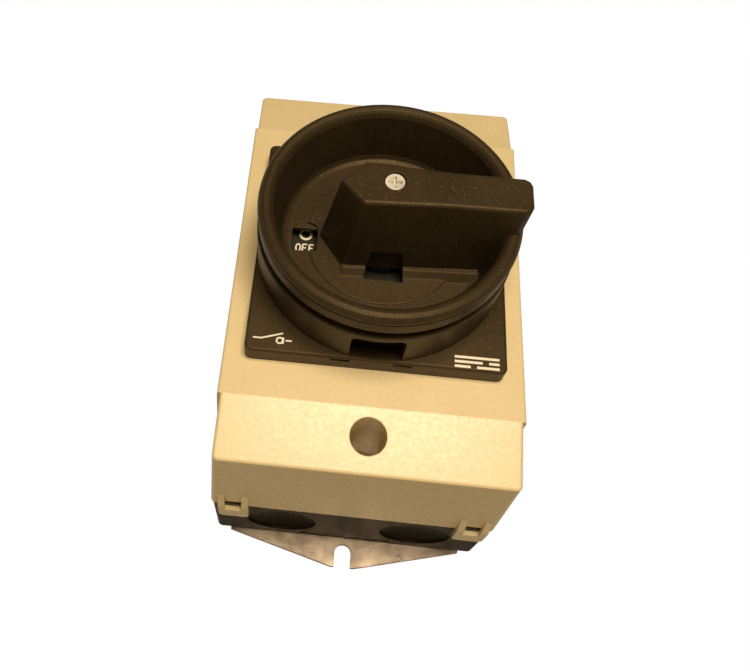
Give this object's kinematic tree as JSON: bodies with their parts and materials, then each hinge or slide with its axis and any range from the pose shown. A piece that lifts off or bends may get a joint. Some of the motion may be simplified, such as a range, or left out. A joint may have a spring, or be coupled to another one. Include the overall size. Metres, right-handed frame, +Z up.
{
  "type": "enclosed rotary main switch",
  "caption": "Surface-mount enclosed rotary main switch with a padlockable thumb-grip handle, clip-on pale cover, dark base and slotted wall bracket.",
  "frame": {"origin": "centre of the mounting bracket's rear face, on the handle's axis", "axes": "+Z up the wall, +Y into the wall, +X to the right seen from the front; the handle faces -Y"},
  "size_m": [0.082, 0.109, 0.1374],
  "materials": {
    "cover_plastic": "satin",
    "base_plastic": "matt",
    "black_plastic": "fine grain",
    "dial_plastic": "matt",
    "switch_plastic": "matt",
    "cam_plastic": "satin",
    "zinc": "zinc plated",
    "spring_steel": "drawn wire",
    "brass": "plain",
    "rubber": "matt"
  },
  "bodies": {
    "enclosure": {"mounting_bracket": "zinc", "bracket_rivets": "zinc", "base_housing": "base_plastic", "cover_gasket": "rubber", "cover": "cover_plastic", "cover_screws": "zinc", "cover_screw_seals": "rubber", "bezel_plate": "black_plastic", "bezel_gasket": "rubber", "bezel_screws": "zinc", "dial_plate": "dial_plastic", "shaft_seal": "rubber", "detent_housing": "switch_plastic", "detent_spring": "spring_steel", "front_plate": "zinc", "chamber_rear": "switch_plastic", "chamber_front": "switch_plastic", "terminal_screws": "zinc", "terminal_clamps": "zinc", "tie_screws": "zinc", "din_rail": "zinc", "rail_screws": "zinc", "switch_foot": "switch_plastic", "earth_terminal": "brass", "earth_screws": "zinc", "line_contact_l1": "brass", "line_contact_l2": "brass", "line_contact_l3": "brass", "line_contact_n": "brass", "load_contact_l1": "brass", "load_contact_l2": "brass", "load_contact_l3": "brass", "load_contact_n": "brass", "contact_spring_l1": "spring_steel", "contact_spring_l2": "spring_steel", "contact_spring_l3": "spring_steel", "contact_spring_n": "spring_steel"},
    "rotor": {"knob": "black_plastic", "knob_screw": "zinc", "knob_retainer": "spring_steel", "drive_shaft": "zinc", "cam_rear": "cam_plastic", "cam_front": "cam_plastic", "detent_wheel": "cam_plastic"},
    "pole_l1": {"plunger_l1": "cam_plastic", "bridge_l1": "brass"},
    "pole_l2": {"plunger_l2": "cam_plastic", "bridge_l2": "brass"},
    "pole_l3": {"plunger_l3": "cam_plastic", "bridge_l3": "brass"},
    "pole_n": {"plunger_n": "cam_plastic", "bridge_n": "brass"}
  },
  "joints": [
    {"name": "handle_turn", "type": "hinge", "parent": "enclosure", "child": "rotor", "pos_m": [0, -0.05, 0], "axis": [0, 1, 0], "range_deg": [0, 90], "deforming": ["detent_spring"]},
    {"name": "contact_l1", "type": "slide", "parent": "enclosure", "child": "pole_l1", "axis": [1, 0, 0], "range_m": [0, 0.002], "deforming": ["contact_spring_l1"]},
    {"name": "contact_l2", "type": "slide", "parent": "enclosure", "child": "pole_l2", "axis": [-1, 0, 0], "range_m": [0, 0.002], "deforming": ["contact_spring_l2"]},
    {"name": "contact_l3", "type": "slide", "parent": "enclosure", "child": "pole_l3", "axis": [1, 0, 0], "range_m": [0, 0.002], "deforming": ["contact_spring_l3"]},
    {"name": "contact_n", "type": "slide", "parent": "enclosure", "child": "pole_n", "axis": [-1, 0, 0], "range_m": [0, 0.002], "deforming": ["contact_spring_n"]}
  ],
  "couplings": [
    {"joint": "contact_l1", "follows": "handle_turn", "m_per_rad": 0.001273},
    {"joint": "contact_l2", "follows": "handle_turn", "m_per_rad": 0.001273},
    {"joint": "contact_l3", "follows": "handle_turn", "m_per_rad": 0.001273},
    {"joint": "contact_n", "follows": "handle_turn", "m_per_rad": 0.001273}
  ]
}
